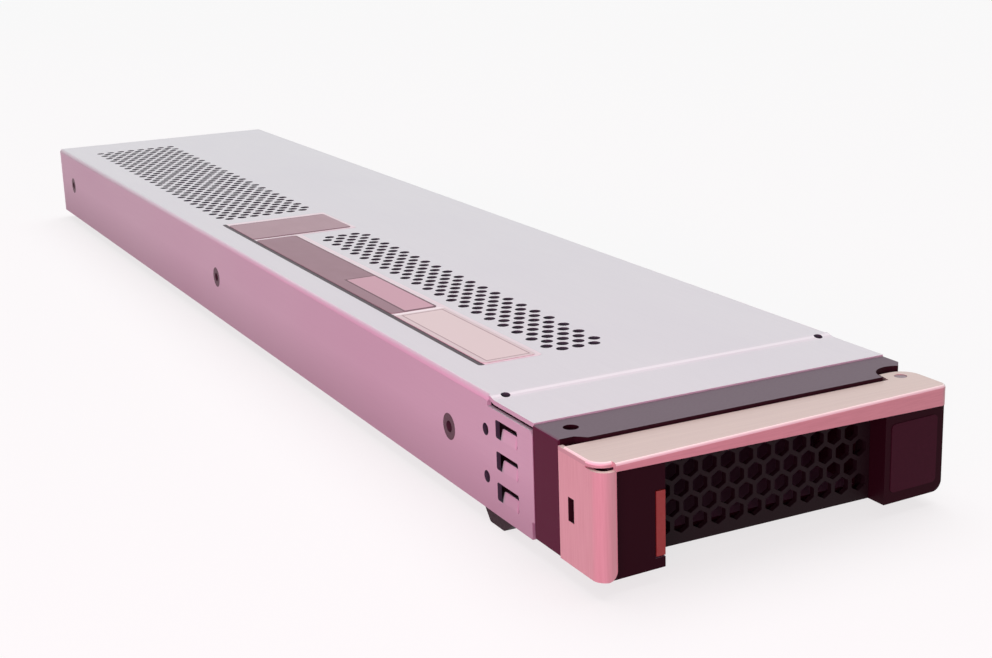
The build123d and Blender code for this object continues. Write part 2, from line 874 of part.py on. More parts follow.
# As many columns as the spacers leave room for, and as many rows as the links do
chip_pitch = (chip_width + chip_side_gap, chip_length + chip_end_gap)
chip_room = (
    2 * (memory_holes_x - standoff_across / 2) - chip_side_gap,
    memory_y[1] - memory_y[0] - 2 * link_margin - link_width,
)
chip_columns = int((chip_room[0] + chip_side_gap) // chip_pitch[0])
chip_rows = int((chip_room[1] + chip_end_gap) // chip_pitch[1])
memory_middle = sum(memory_y) / 2
chip_first = (
    -(chip_columns - 1) / 2 * chip_pitch[0],
    memory_middle - (chip_rows - 1) / 2 * chip_pitch[1],
)
chip_places = [
    (chip_first[0] + column * chip_pitch[0], chip_first[1] + row * chip_pitch[1])
    for column in range(chip_columns)
    for row in range(chip_rows)
]
for name, chip_z in (("memory_chips", memory_top), ("flash_chips", board_top)):
    with BuildPart() as chip_set:
        chips(chip_places, chip_z, (chip_width, chip_length), chip_height)
    finish(chip_set, name)

sink_side = controller_size + 2 * sink_margin
power_x = board_half - coil_inset
controller_x = power_x - coil_side / 2 - sink_gap - sink_side / 2
controller_y = [memory_y[1] + controller_first + i * controller_pitch for i in range(2)]
controller_places = [(controller_x, y) for y in controller_y]
with BuildPart() as controller_chips:
    chips(controller_places, board_top, (controller_size, controller_size), controller_height)
finish(controller_chips, "controller_chips")

sink_z = board_top + controller_height
with BuildPart() as heat_sinks:
    chips(controller_places, sink_z, (sink_side, sink_side), sink_base)
    with BuildSketch(level(sink_z + sink_base)):
        with Locations(*controller_places):
            with GridLocations((sink_side - sink_fin) / (sink_fins - 1), 1, sink_fins, 1):
                Rectangle(sink_fin, sink_side)
    extrude(amount=sink_height - sink_base)
finish(heat_sinks, "heat_sinks")

# Coils and capacitors take turns in one column beside each sink
power_first = -(2 * power_pairs - 1) / 2 * power_pitch
coil_places = []
can_places = []
for y in controller_y:
    for pair in range(power_pairs):
        coil_places.append((power_x, y + power_first + 2 * pair * power_pitch))
        can_places.append((power_x, y + power_first + (2 * pair + 1) * power_pitch))

with BuildPart() as power_coils:
    chips(coil_places, board_top, (coil_side, coil_side), coil_height)
finish(power_coils, "power_coils")

with BuildPart() as capacitors:
    with BuildSketch(level(board_top)):
        with Locations(*can_places):
            Circle(can_radius)
    extrude(amount=can_height)
finish(capacitors, "capacitors")


# Rear connector: block on the main board with two blade slots to the rear
with BuildPart() as rear_connector:
    connector_z = (board_top, board_top + connector_height)
    with BuildSketch(across(rear_y)):
        area((-connector_width / 2, connector_z[0]), (connector_width / 2, connector_z[1]))
    extrude(amount=connector_depth)
    with BuildSketch(across(rear_y)):
        with Locations((0, sum(connector_z) / 2)):
            with GridLocations(1, connector_slot_pitch, 1, 2):
                Rectangle(*connector_slot)
    extrude(amount=connector_slot_depth, mode=Mode.SUBTRACT)
finish(rear_connector, "rear_connector")


# Labels on the cover's top and the bare plate on the right block
def label(place, width):
    start = (label_inset - side_x, behind(place[0]))
    with BuildSketch(level(top_z)) as outline:
        area(start, (start[0] + width, start[1] + place[1]))
        fillet(outline.vertices(), label_round)
    extrude(outline.sketch, amount=label_sheet)


for name, place, width in (
    ("label_front", label_front_place, label_front_width),
    ("label_middle", label_middle_place, label_middle_width),
    ("label_rear", label_rear_place, label_rear_width),
):
    with BuildPart() as sticker:
        label(place, width)
    finish(sticker, name)

with BuildPart() as front_label:
    with BuildSketch(along_front(block_inset)) as plate_outline:
        area(
            (side_x + right_block[0] + plate_margin[0], above(block_bottom) + plate_margin[1]),
            (side_x + right_block[1] - plate_margin[0], right_block_top - plate_margin[0]),
        )
        fillet(plate_outline.vertices(), label_round)
    extrude(amount=plate_sheet)
finish(front_label, "front_label")
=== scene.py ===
import math

import bpy
import numpy as np
from mathutils import Matrix, Vector
from mathutils.geometry import delaunay_2d_cdt


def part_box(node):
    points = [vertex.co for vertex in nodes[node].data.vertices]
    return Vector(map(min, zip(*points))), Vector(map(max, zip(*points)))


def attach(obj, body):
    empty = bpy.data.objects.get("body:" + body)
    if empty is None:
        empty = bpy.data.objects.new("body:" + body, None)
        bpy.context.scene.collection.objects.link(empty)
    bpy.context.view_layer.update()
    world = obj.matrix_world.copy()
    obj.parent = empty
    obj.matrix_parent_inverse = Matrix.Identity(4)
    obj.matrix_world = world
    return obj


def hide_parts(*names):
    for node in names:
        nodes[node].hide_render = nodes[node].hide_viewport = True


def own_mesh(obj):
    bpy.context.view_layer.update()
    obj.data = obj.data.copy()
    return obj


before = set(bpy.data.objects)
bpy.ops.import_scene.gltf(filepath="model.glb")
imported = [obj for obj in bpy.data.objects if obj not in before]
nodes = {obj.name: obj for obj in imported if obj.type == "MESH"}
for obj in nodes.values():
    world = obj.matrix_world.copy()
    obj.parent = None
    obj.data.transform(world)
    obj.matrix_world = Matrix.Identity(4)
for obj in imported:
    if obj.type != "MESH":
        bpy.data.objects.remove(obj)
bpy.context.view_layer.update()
mm = 0.001  # the pieces are worked out in millimetres and put into the meshes in metres
print("frame loaded:", len(nodes), "nodes")


def toLinear(hexColour):
    # sRGB hex value to the linear colour that a socket takes, by the standard's curve
    parts = np.array([int(hexColour[i:i + 2], 16) for i in (1, 3, 5)]) / 255
    linear = np.where(parts <= 0.04045, parts / 12.92, ((parts + 0.055) / 1.055) ** 2.4)
    return (*linear.tolist(), 1.0)


def addNode(tree, kind, values=None, links=None, **settings):
    # One node: its settings, the fixed values of its sockets, and links as socket -> (node, output)
    node = tree.nodes.new(kind)
    for name, value in settings.items():
        setattr(node, name, value)
    for socket, value in (values or {}).items():
        node.inputs[socket].default_value = value
    for socket, (source, output) in (links or {}).items():
        tree.links.new(source.outputs[output], node.inputs[socket])
    return node


def startMaterial(name, look):
    # Principled shader with the look's fixed values, and the piece's own millimetre-true coordinates
    material = bpy.data.materials.new(name)
    material.use_nodes = True
    tree = material.node_tree
    shader = tree.nodes["Principled BSDF"]
    shader.inputs["Base Color"].default_value = toLinear(look["colour"])
    shader.inputs["Metallic"].default_value = look.get("metallic", 0.0)
    shader.inputs["Roughness"].default_value = look["roughness"]
    shader.inputs["Specular IOR Level"].default_value = look.get("specular", 0.5)
    place = addNode(tree, "ShaderNodeTexCoord")
    return material, tree, shader, place


# What the grains share: the noise's octaves and how much the finer ones count, the part of its range that
# tells, the strength of its bump and how far the roughness swings with it. A grain of under about a quarter of
# a millimetre wouldn't show, so finer ones are drawn that coarse
grainLook = {"octaves": 3.0, "octaveShare": 0.55, "range": (0.3, 0.7), "bump": 0.5, "spread": 0.08}


def grainOn(tree, place, size, octaves=grainLook["octaves"]):
    # Noise whose grain is size millimetres long on X, Y and Z
    scaled = addNode(
        tree, "ShaderNodeMapping", links={"Vector": (place, "Object")},
        values={"Scale": tuple(1 / (s * mm) for s in size)},
    )
    return addNode(
        tree, "ShaderNodeTexNoise", links={"Vector": (scaled, "Vector")},
        values={"Scale": 1.0, "Detail": octaves, "Roughness": grainLook["octaveShare"]},
    )


def whereAll(tree, tests):
    # 1 where every test (node, output, operation, limit) holds, else 0
    held = None
    for source, output, operation, limit in tests:
        test = addNode(
            tree, "ShaderNodeMath", operation=operation, links={0: (source, output)}, values={1: limit},
        )
        held = test if held is None else addNode(
            tree, "ShaderNodeMath", operation="MULTIPLY", links={0: (held, 0), 1: (test, 0)},
        )
    return held


def layColours(tree, ground, layers):
    # The ground, a hex colour or a node, with the layers' colours laid over it in turn, each as far as its
    # mask (node, output) says
    for mask, output, colour in layers:
        laid = addNode(
            tree, "ShaderNodeMix", data_type="RGBA", links={"Factor": (mask, output)},
            values={"B": toLinear(colour)},
        )
        if isinstance(ground, str):
            laid.inputs["A"].default_value = toLinear(ground)
        else:
            tree.links.new(ground.outputs["Result"], laid.inputs["A"])
        ground = laid
    return ground


def unevenRoughness(tree, grain, middle, spread):
    # Roughness that swings about its middle value with the grain
    least, most = grainLook["range"]
    return addNode(
        tree, "ShaderNodeMapRange", links={"Value": (grain, "Fac")},
        values={"From Min": least, "From Max": most, "To Min": middle - spread, "To Max": middle + spread},
    )


def grainedMaterial(name, look):
    # Two tones mixed by a noise of the look's grain, which also roughens and raises the surface a little.
    # Where the look gives them, there is one more colour below a place along an axis, or nearer than that to
    # the middle plane (aside), and a lighter colour on what faces up, a painted sheen
    material, tree, shader, place = startMaterial(name, look)
    grain = grainOn(tree, place, look["grain"])
    layers = [(grain, "Fac", look["tone"])]
    if look.get("beyond"):
        axis, limit, beyondColour = look["beyond"]
        spot = addNode(tree, "ShaderNodeSeparateXYZ", links={"Vector": (place, "Object")})
        measured = (spot, axis)
        if axis == "aside":
            measured = (addNode(tree, "ShaderNodeMath", operation="ABSOLUTE", links={0: (spot, "X")}), 0)
        layers.append((whereAll(tree, [(*measured, "LESS_THAN", limit * mm)]), 0, beyondColour))
    # Painted sheen: a lighter colour on what faces up
    if look.get("topSheen"):
        facing = addNode(tree, "ShaderNodeSeparateXYZ", links={"Vector": (place, "Normal")})
        lying = whereAll(tree, [(facing, "Z", "GREATER_THAN", look["sheenLean"])])
        layers.append((lying, 0, look["topSheen"]))
    painted = layColours(tree, look["colour"], layers)
    tree.links.new(painted.outputs["Result"], shader.inputs["Base Color"])
    rough = unevenRoughness(tree, grain, look["roughness"], look.get("spread", grainLook["spread"]))
    tree.links.new(rough.outputs["Result"], shader.inputs["Roughness"])
    if look.get("height"):
        raised = addNode(
            tree, "ShaderNodeBump", links={"Height": (grain, "Fac")},
            values={"Strength": grainLook["bump"], "Distance": look["height"] * mm},
        )
        tree.links.new(raised.outputs["Normal"], shader.inputs["Normal"])
    return material


def dress(material, *names):
    # One material on the CAD nodes of these names
    for name in names:
        nodes[name].data.materials.clear()
        nodes[name].data.materials.append(material)


def squareTriangles(rows, columns):
    # Triangles of a rows x columns grid of points, numbered along the columns first
    first = (np.arange(rows - 1)[:, None] * columns + np.arange(columns - 1)).ravel()
    quads = np.stack([first, first + 1, first + columns + 1, first + columns], 1)
    return np.vstack([quads[:, [0, 1, 2]], quads[:, [0, 2, 3]]])


def faceOut(points, triangles, outward):
    # Turns the triangles round whose normal goes against the outward direction
    a, b, c = (points[triangles[:, i]] for i in range(3))
    against = (np.cross(b - a, c - a) * outward).sum(1) < 0
    return np.where(against[:, None], triangles[:, ::-1], triangles)


def roundedLoop(hole, cornerPoints, lowerPoints=None):
    # Closed loop of a rounded rectangle (middle, half sides, corner radius): four quarter circles, and on
    # the lower side the points that a lanced tab starts from. A circle has half sides equal to its radius
    middle, half, radius = np.array(hole[:2]), np.array(hole[2:4]), hole[4]
    quarter = (np.arange(cornerPoints) + 0.5) / cornerPoints * math.pi / 2
    turns = quarter + np.arange(4)[:, None] * math.pi / 2
    signs = np.array([[1, 1], [-1, 1], [-1, -1], [1, -1]])
    arcs = middle + signs[:, None] * (half - radius) + radius * np.stack([np.cos(turns), np.sin(turns)], 2)
    lower = [lowerPoints] if lowerPoints is not None else []
    return np.vstack([*arcs[:3], *lower, arcs[3]])


# How flat sheets are cut: Delaunay keeps what is inside the outline, points this near in mm are one, and
# this many holes are tested at a time, to spare memory
cutting = {"keep": 1, "joined": 1e-5, "batch": 64}
weldDigits = 3  # a piece's points that agree to a thousandth of a millimetre are welded


def cutSheet(loops, creases, holes):
    # A flat sheet: Delaunay triangles between its loops, along its creases, less those whose middle lies
    # in a hole (distance to a rounded rectangle below nought)
    starts = np.cumsum([0] + [len(loop) for loop in loops])
    edges = [np.stack([np.arange(a, b), np.r_[a + 1:b, a]], 1) for a, b in zip(starts, starts[1:])]
    ends = starts[-1] + np.arange(2 * len(creases)).reshape(-1, 2)
    points = np.vstack([*loops, *creases])
    found = delaunay_2d_cdt(
        [Vector(p) for p in points.tolist()], np.vstack([*edges, ends]).tolist(), [],
        cutting["keep"], cutting["joined"],
    )
    corners = np.array([tuple(v) for v in found[0]])
    triangles = np.array(found[2])
    middles = corners[triangles].mean(1)
    inside = np.zeros(len(middles), bool)
    for start in range(0, len(holes), cutting["batch"]):
        part = holes[start:start + cutting["batch"]]
        past = np.abs(middles[:, None] - part[:, :2]) - (part[:, 2:4] - part[:, 4:])
        away = np.hypot(*np.moveaxis(np.maximum(past, 0), 2, 0)) + np.minimum(past.max(2), 0) - part[:, 4]
        inside |= (away < 0).any(1)
    return corners, triangles[~inside]


def makePiece(name, parts, body, material):
    # Joins (points in mm, triangles, smooth) parts, welds points that fall together, and puts the mesh in
    # place on its body
    counts = np.cumsum([0] + [len(points) for points, _, _ in parts])
    points = np.vstack([points for points, _, _ in parts])
    triangles = np.vstack([tris + start for (_, tris, _), start in zip(parts, counts)])
    smooth = np.concatenate([np.full(len(tris), flag) for _, tris, flag in parts])
    _, first, index = np.unique(np.round(points, weldDigits), axis=0, return_index=True, return_inverse=True)
    triangles = index.reshape(-1)[triangles]
    whole = (np.diff(np.sort(triangles, 1), axis=1) > 0).all(1)
    mesh = bpy.data.meshes.new(name)
    mesh.from_pydata((points[first] * mm).tolist(), [], triangles[whole].tolist())
    mesh.polygons.foreach_set("use_smooth", smooth[whole])
    mesh.materials.append(material)
    piece = bpy.data.objects.new(name, mesh)
    bpy.context.scene.collection.objects.link(piece)
    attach(piece, body)
    print(name, "made:", len(first), "points,", int(whole.sum()), "triangles")
    return piece


def thicken(piece, thickness, offset):
    # Gives a drawn face its thickness in mm, inwards (offset -1) or to both sides (0)
    sheet = piece.modifiers.new("sheetThickness", "SOLIDIFY")
    sheet.thickness = thickness * mm
    sheet.offset = offset
    return sheet


# Folded cover: one sheet with a joggled front strip, bends along both sides, vents and lanced windows. Places
# are from its front edge and its foot, and insets from its sides
cover = {
    "sheet": 0.9, "bend": 1.1, "bendSteps": 6,
    "stripLength": 15.8, "stripDrop": 0.5, "stripInset": 0.4, "joggleRun": 2.6, "joggleSteps": 8,
    "wallDrop": 2.1, "wallMouth": 0.9, "wallNotch": (0.9, 3.6),
    "reliefHole": 1.9, "reliefInset": 3.5, "reliefPlace": 17.3,
    "ventHole": 2.7, "ventPitch": 3.89, "ventCorner": 4,
    "middleVents": {"inset": 37.69, "start": 38.6, "lines": 41, "longLine": 4},
    "rearVents": {"inset": 37.69, "start": 216.0, "lines": 46, "longLine": 8},
    "window": (9.0, 3.7), "windowRound": 0.5, "windowCorner": 4,
    "windowPlace": (6.1, 5.2), "windowPitch": 6.4, "windows": 3,
    "tab": (6.2, 2.4), "tabPlace": 0.6, "tabLean": 0.5, "tabBow": 1.3, "tabRound": 0.3, "tabGrid": (12, 9),
    "pilotHole": 2.5, "pilotPlace": 19.5, "pilotHeights": (6.8, 16.6),
    "screwHole": 5.7, "screwHeight": 12.2, "screwPlaces": (36.5, 192.7, 371.4), "wallCorner": 6,
}
# Sheared edges stand steep in the sheet's skin, a margin away from the sheet's own outline. Their dark
# colour is bare steel, and painted shade in the holes and windows
zincSheet = {
    "colour": "#d4d7d9", "tone": "#cbced1", "metallic": 0.12, "roughness": 0.56, "specular": 0.3,
    "grain": (0.5, 14.0, 0.5), "cloud": (26.0, 60.0, 26.0), "cloudTone": "#ced1d5", "cloudOctaves": 2.0,
    # The colour at the walls' feet, with its height and share, is painted shade
    "spread": 0.05, "footShade": "#aaa5ab", "footShadeHeight": 13.0, "footShadeShare": 0.68,
    "edge": "#4c575e", "edgeMargin": 2.0, "skin": 1.5, "steep": 0.5,
    # The joggle's colour is a painted highlight, and its roughness a little smoother
    "joggleHighlight": "#d9dddf", "joggleRoughness": 0.5, "joggleHighlightRun": (1.2, 2.0),
}


def makeZinc(name, look):
    # Zinc-plated sheet steel, rolled: a matt pale grey, faintly drawn along the sheet's length and clouded
    # where the plating is thicker, with painted shade darkening the walls towards their feet. Edges that were
    # sheared after plating, in holes and windows, are dark: bare steel, and painted shade in the holes. A
    # painted highlight lies along the joggle, which is also a little smoother. The rolling lines are coarser
    # than the real ones, to show at all
    material, tree, shader, place = startMaterial(name, look)
    lines = grainOn(tree, place, look["grain"])
    cloud = grainOn(tree, place, look["cloud"], look["cloudOctaves"])
    low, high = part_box("top_cover")
    margin, skin, steep = look["edgeMargin"] * mm, look["skin"] * mm, look["steep"]
    spot = addNode(tree, "ShaderNodeSeparateXYZ", links={"Vector": (place, "Object")})
    facing = addNode(tree, "ShaderNodeSeparateXYZ", links={"Vector": (place, "Normal")})
    aside, sideways, upward = (
        addNode(tree, "ShaderNodeMath", operation="ABSOLUTE", links={0: source})
        for source in ((spot, "X"), (facing, "X"), (facing, "Z"))
    )
    between = [(spot, "Y", "GREATER_THAN", low.y + margin), (spot, "Y", "LESS_THAN", high.y - margin)]
    inTop = whereAll(tree, [
        (spot, "Z", "GREATER_THAN", high.z - skin), (aside, 0, "LESS_THAN", high.x - margin),
        (upward, 0, "LESS_THAN", steep), *between,
    ])
    inWall = whereAll(tree, [
        (aside, 0, "GREATER_THAN", high.x - skin), (spot, "Z", "LESS_THAN", high.z - 2 * margin),
        (spot, "Z", "GREATER_THAN", low.z + margin / 2), (sideways, 0, "LESS_THAN", steep), *between,
    ])
    # Dark sheared edges: bare steel, and painted shade in the holes and windows
    sheared = addNode(tree, "ShaderNodeMath", operation="MAXIMUM", links={0: (inTop, 0), 1: (inWall, 0)})
    lineFront, lineRear = (low.y + (cover["stripLength"] + run) * mm for run in look["joggleHighlightRun"])
    # Painted highlight along the joggle
    onJoggle = whereAll(tree, [
        (spot, "Z", "GREATER_THAN", high.z - skin), (upward, 0, "GREATER_THAN", steep),
        (spot, "Y", "GREATER_THAN", lineFront), (spot, "Y", "LESS_THAN", lineRear),
    ])
    # Painted shade: darker towards the walls' feet
    nearFoot = addNode(
        tree, "ShaderNodeMapRange", links={"Value": (spot, "Z")},
        values={"From Min": low.z, "From Max": low.z + look["footShadeHeight"] * mm,
                "To Min": look["footShadeShare"], "To Max": 0.0},
    )
    painted = layColours(tree, look["colour"], [
        (lines, "Fac", look["tone"]), (cloud, "Fac", look["cloudTone"]), (nearFoot, "Result", look["footShade"]),
        (sheared, 0, look["edge"]), (onJoggle, 0, look["joggleHighlight"]),
    ])
    tree.links.new(painted.outputs["Result"], shader.inputs["Base Color"])
    rough = unevenRoughness(tree, cloud, look["roughness"], look["spread"])
    smoother = addNode(
        tree, "ShaderNodeMix", data_type="FLOAT", links={"Factor": (onJoggle, 0), "A": (rough, "Result")},
        values={"B": look["joggleRoughness"]},
    )
    tree.links.new(smoother.outputs["Result"], shader.inputs["Roughness"])
    return material


def staggeredVents(field, left, front):
    # Middles of round holes on a 60-degree lattice: lines across the case, every other one half a step in
    line = np.arange(field["lines"])[:, None]
    hole = np.arange(field["longLine"])[None]
    short = 1 - line % 2
    x = left + field["inset"] - (hole + short / 2) * cover["ventPitch"]
    y = front + field["start"] + line * cover["ventPitch"] * math.sqrt(3) / 2 + 0 * hole
    kept = hole < field["longLine"] - short
    return np.stack([x[kept], y[kept]], 1)


def lancedTab(edge, side, start, foot):
    # A tab on a grid: its rows rise from the window's lower side and lean in along a power curve, and its
    # upper corners are rounded by drawing the last rows' ends together along a quarter circle
    length, rise = cover["tab"]
    rows, columns = cover["tabGrid"]
    corner = cover["tabRound"]
    up, along = np.linspace(0, 1, rows)[:, None], np.linspace(0, 1, columns)
    intoCorner = np.maximum(up * rise - (rise - corner), 0)
    pull = corner - np.sqrt(np.maximum(corner ** 2 - intoCorner ** 2, 0))
    x = edge - side * cover["tabLean"] * up ** cover["tabBow"] + 0 * along
    y = start + pull + along * (length - 2 * pull)
    z = foot + rise * up + 0 * along
    points = np.stack([x, y, z], 2).reshape(-1, 3)
    return points, faceOut(points, squareTriangles(rows, columns), np.array([side, 0, 0])), True


def makeCover():
    (left, front, floor), (right, rear, top) = (np.array(corner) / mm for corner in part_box("top_cover"))
    bend = cover["bend"]
    joggle = front + cover["stripLength"]
    joggleEnd = joggle + cover["joggleRun"]
    parts = []

    # Top: the strip, the joggle and the flat, drawn in plan and lifted by an S-shaped step along Y
    vents = np.vstack([staggeredVents(cover[field], left, front) for field in ("middleVents", "rearVents")])
    reliefs = np.array([[side - np.sign(side) * cover["reliefInset"], front + cover["reliefPlace"]]
                        for side in (left, right)])
    holes = np.vstack([
        np.c_[vents, np.full((len(vents), 3), cover["ventHole"] / 2)],
        np.c_[reliefs, np.full((len(reliefs), 3), cover["reliefHole"] / 2)],
    ])
    strip = right - cover["stripInset"]
    flat = right - bend
    outline = np.array([
        [-strip, front], [strip, front], [strip, joggleEnd], [flat, joggleEnd],
        [flat, rear], [-flat, rear], [-flat, joggleEnd], [-strip, joggleEnd],
    ])
    steps = np.linspace(joggle, joggleEnd, cover["joggleSteps"] + 1)
    creases = [np.array([[-strip, y], [strip, y]]) for y in steps]
    loops = [outline] + [roundedLoop(hole, cover["ventCorner"]) for hole in holes]
    plan, triangles = cutSheet(loops, creases, holes)
    rise = np.clip((plan[:, 1] - joggle) / cover["joggleRun"], 0, 1)
    height = top - cover["stripDrop"] * (1 - rise * rise * (3 - 2 * rise))
    points = np.c_[plan, height]
    parts.append((points, faceOut(points, triangles, np.array([0, 0, 1])), False))

    # Bends: a quarter circle about each side's bend line, carried from the joggle to the rear
    turn = np.linspace(0, math.pi / 2, cover["bendSteps"] + 1)
    for side in (-1, 1):
        arc = np.stack([side * (flat + bend * np.sin(turn)), 0 * turn, top - bend + bend * np.cos(turn)], 1)
        points = np.vstack([arc + [0, joggleEnd, 0], arc + [0, rear, 0]])
        triangles = squareTriangles(2, len(turn))
        outward = points[triangles].mean(1) - [side * flat, 0, top - bend]
        parts.append((points, faceOut(points, triangles, outward * [1, 0, 1]), True))

    # Walls: drawn in Y and Z, with the front notch, and on the left the windows and the pilot holes
    notchRun, notchRise = cover["wallNotch"]
    wallTop = top - cover["wallDrop"]
    mouth = cover["wallMouth"]
    wall = np.array([
        [front + notchRun, floor], [rear, floor], [rear, top - bend], [joggleEnd, top - bend],
        [joggleEnd, wallTop], [front + mouth, wallTop], [front, wallTop - mouth],
        [front, floor + notchRise], [front + notchRun, floor + notchRise],
    ])
    screws = np.array([[front + y, floor + cover["screwHeight"]] for y in cover["screwPlaces"]])
    screwHoles = np.c_[screws, np.full((len(screws), 3), cover["screwHole"] / 2)]
    pilots = np.array([[front + cover["pilotPlace"], floor + z] for z in cover["pilotHeights"]])
    pilotHoles = np.c_[pilots, np.full((len(pilots), 3), cover["pilotHole"] / 2)]
    windowHalf = np.array(cover["window"]) / 2
    windows = np.array([
        [front + cover["windowPlace"][0] + windowHalf[0],
         floor + cover["windowPlace"][1] + row * cover["windowPitch"], *windowHalf, cover["windowRound"]]
        for row in range(cover["windows"])
    ])
    tabStart = front + cover["windowPlace"][0] + cover["tabPlace"]
    tabRoot = tabStart + np.linspace(0, 1, cover["tabGrid"][1]) * cover["tab"][0]
    for side, edge in ((-1, left), (1, right)):
        roundHoles = np.vstack([screwHoles, pilotHoles]) if side < 0 else screwHoles
        sideWindows = windows if side < 0 else windows[:0]
        loops = [wall] + [roundedLoop(hole, cover["wallCorner"]) for hole in roundHoles]
        for window in sideWindows:
            foot = window[1] - windowHalf[1]
            rootLine = np.c_[tabRoot, np.full(len(tabRoot), foot)]
            loops.append(roundedLoop(window, cover["windowCorner"], rootLine))
            parts.append(lancedTab(edge, side, tabStart, foot))
        flatWall, triangles = cutSheet(loops, [], np.vstack([roundHoles, sideWindows]))
        points = np.c_[np.full(len(flatWall), edge), flatWall]
        parts.append((points, faceOut(points, triangles, np.array([side, 0, 0])), False))

    zinc = makeZinc("zincPlatedSteel_rolled", zincSheet)
    piece = makePiece("coverSheet", parts, "case", zinc)
    thicken(piece, cover["sheet"], -1).use_even_offset = True
    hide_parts("top_cover")
    dress(zinc, "base_pan")


makeCover()

# Front carrier and grille: dark mouldings, the carrier painted lighter where it faces up, a painted sheen
carrierPlastic = {
    # Darker between the sides (aside): painted shade
    "colour": "#53263c", "tone": "#5b2c43", "beyond": ("aside", 40.4, "#2c131c"),
    # Lighter where it faces up: a painted sheen
    "topSheen": "#6f666e", "sheenLean": 0.7, "roughness": 0.45, "specular": 0.04,
    "grain": (0.6, 0.6, 0.6), "height": 0.02, "spread": 0.05,
}
grillePlastic = {
    "colour": "#171012", "tone": "#1f1619", "roughness": 0.55, "specular": 0.12,
    "grain": (0.6, 0.6, 0.6), "height": 0.02, "spread": 0.05,
}
# ABS blend, moulded in a lightly etched tool: dark plum with a fine orange-peel grain, painted lighter on
# top as a painted sheen, and darker between its sides as painted shade
dress(grainedMaterial("absBlend_moulded", carrierPlastic), "front_carrier")
# ABS blend, moulded in a plain tool: the grille is near black, and duller than the carrier
dress(grainedMaterial("absBlend_mouldedGrille", grillePlastic), "grille_panel")

# Pull lever: brushed along X on the flange and the lip, and upright on the wrap round the left corner. The
# slot is given along Y and Z in the frame's mm, and a lean is one part of the face's normal
leverSteel = {
    "colour": "#cdbfb6", "tone": "#c7b8b0", "metallic": 0.08, "roughness": 0.44, "specular": 0.4,
    # The wrap's colours are painted light, lighter than the flange's
    "wrapLitColour": "#ddcdc3", "wrapLitTone": "#d7c5bb", "wrapWidth": 3.4, "foldDepth": 1.1,
    # The lip's colours are painted light, lighter and pinker than the flange's
    "lipLitColour": "#e2bdba", "lipLitTone": "#dab4b1", "lipLean": -0.7,
    "flatStreak": (22.0, 0.25, 0.25), "wrapStreak": (0.35, 0.35, 9.0), "streakRange": (0.35, 0.65),
    "bump": 0.3, "height": 0.008,
    # The slot's edge colour is painted shade
    "slot": (-198.3, -195.8), "slotHeights": (11.0, 17.0), "slotLean": 0.5, "slotShade": "#33161f",
    # The fold's colour is a painted highlight
    "foldHighlight": "#f2e8e3", "foldLean": (0.3, 0.95),
}


def makeLeverSteel(name, look):
    # Stainless sheet, brushed before folding: warm pale metal with fine streaks that run the way each face
    # was drawn under the brush. The wrap is painted lighter than the flange and the lip lighter and pinker, as
    # painted light; a painted highlight lies along the fold over the lip, and the punched slot is painted
    # dark, as painted shade
    material, tree, shader, place = startMaterial(name, look)
    leverLow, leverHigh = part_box("lever")
    wrapEnd = leverLow.x + look["wrapWidth"] * mm
    spot = addNode(tree, "ShaderNodeSeparateXYZ", links={"Vector": (place, "Object")})
    facing = addNode(tree, "ShaderNodeSeparateXYZ", links={"Vector": (place, "Normal")})
    sideways = addNode(tree, "ShaderNodeMath", operation="ABSOLUTE", links={0: (facing, "X")})
    beside = (spot, "X", "LESS_THAN", wrapEnd)
    onWrap = whereAll(tree, [beside, (spot, "Z", "LESS_THAN", leverHigh.z - look["foldDepth"] * mm)])
    # Painted light on the lip
    onLip = whereAll(tree, [
        (facing, "Y", "LESS_THAN", look["lipLean"]), (spot, "X", "GREATER_THAN", wrapEnd),
    ])
    # Painted highlight along the fold
    leastLean, mostLean = look["foldLean"]
    onFold = whereAll(tree, [(facing, "Z", "GREATER_THAN", leastLean), (facing, "Z", "LESS_THAN", mostLean)])
    # Painted shade in the punched slot
    (slotFront, slotRear), (slotFoot, slotTop) = look["slot"], look["slotHeights"]
    inSlot = whereAll(tree, [
        beside, (sideways, 0, "LESS_THAN", look["slotLean"]),
        (spot, "Y", "GREATER_THAN", slotFront * mm), (spot, "Y", "LESS_THAN", slotRear * mm),
        (spot, "Z", "GREATER_THAN", slotFoot * mm), (spot, "Z", "LESS_THAN", slotTop * mm),
    ])
    flatGrain = grainOn(tree, place, look["flatStreak"])
    wrapGrain = grainOn(tree, place, look["wrapStreak"])
    streak = addNode(
        tree, "ShaderNodeMix", data_type="FLOAT",
        links={"Factor": (onWrap, 0), "A": (flatGrain, "Fac"), "B": (wrapGrain, "Fac")},
    )
    least, most = look["streakRange"]
    sharp = addNode(
        tree, "ShaderNodeMapRange", links={"Value": (streak, "Result")},
        values={"From Min": least, "From Max": most},
    )
    # Painted light: the wrap lighter, and the lip lighter and pinker
    pale, deep = (
        layColours(tree, look[flat], [(onWrap, 0, look[wrap]), (onLip, 0, look[lip])])
        for flat, wrap, lip in (("colour", "wrapLitColour", "lipLitColour"), ("tone", "wrapLitTone", "lipLitTone"))
    )
    streaked = addNode(
        tree, "ShaderNodeMix", data_type="RGBA",
        links={"Factor": (sharp, "Result"), "A": (pale, "Result"), "B": (deep, "Result")},
    )
    # Painted highlight along the fold and painted shade in the slot
    foldAndSlotPainted = layColours(tree, streaked, [(onFold, 0, look["foldHighlight"]), (inSlot, 0, look["slotShade"])])
    tree.links.new(foldAndSlotPainted.outputs["Result"], shader.inputs["Base Color"])
    raised = addNode(
        tree, "ShaderNodeBump", links={"Height": (streak, "Result")},
        values={"Strength": look["bump"], "Distance": look["height"] * mm},
    )
    tree.links.new(raised.outputs["Normal"], shader.inputs["Normal"])
    return material


dress(makeLeverSteel("stainlessSteel_brushed", leverSteel), "lever")

